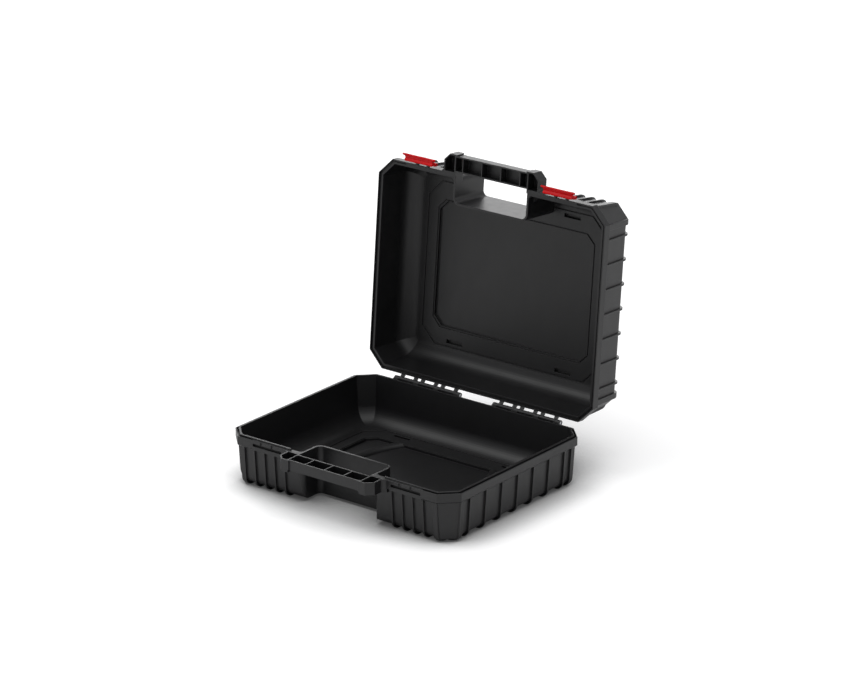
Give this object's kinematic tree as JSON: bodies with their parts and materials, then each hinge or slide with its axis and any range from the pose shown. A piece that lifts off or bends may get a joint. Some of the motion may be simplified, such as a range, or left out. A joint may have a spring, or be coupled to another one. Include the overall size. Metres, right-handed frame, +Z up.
{
  "type": "tool case",
  "caption": "Hard plastic carrying case with ribbed half shells, a hinged lid, a split carrying handle at the front and flip latches on the lid.",
  "frame": {"origin": "centre of the flat pad on the underside of the base, on the surface that the case stands on", "axes": "+X along the hinge to the right as seen from the front, +Y from the handle to the hinge, +Z up"},
  "size_m": [0.35, 0.3934, 0.3669],
  "materials": {
    "case_black": "injection moulded black polypropylene, semi-matt",
    "latch_red": "injection moulded red plastic, satin gloss",
    "pin_steel": "drawn steel rod"
  },
  "bodies": {
    "base": {"base_shell": "case_black", "hinge_pin_left": "pin_steel", "hinge_pin_right": "pin_steel"},
    "lid": {"lid_shell": "case_black", "latch_pin_left": "pin_steel", "latch_pin_right": "pin_steel"},
    "left_latch": {"latch_left": "latch_red"},
    "right_latch": {"latch_right": "latch_red"}
  },
  "joints": [
    {"name": "lid_hinge", "type": "hinge", "parent": "base", "child": "lid", "pos_m": [0, 0.1433, 0.0639], "axis": [1, 0, 0], "range_deg": [0, 95]},
    {"name": "left_latch_hinge", "type": "hinge", "parent": "lid", "child": "left_latch", "pos_m": [-0.107, 0.17095, 0.34787], "axis": [1, 0, 0], "range_deg": [-85, 45]},
    {"name": "right_latch_hinge", "type": "hinge", "parent": "lid", "child": "right_latch", "pos_m": [0.107, 0.17095, 0.34787], "axis": [1, 0, 0], "range_deg": [-85, 45]}
  ]
}
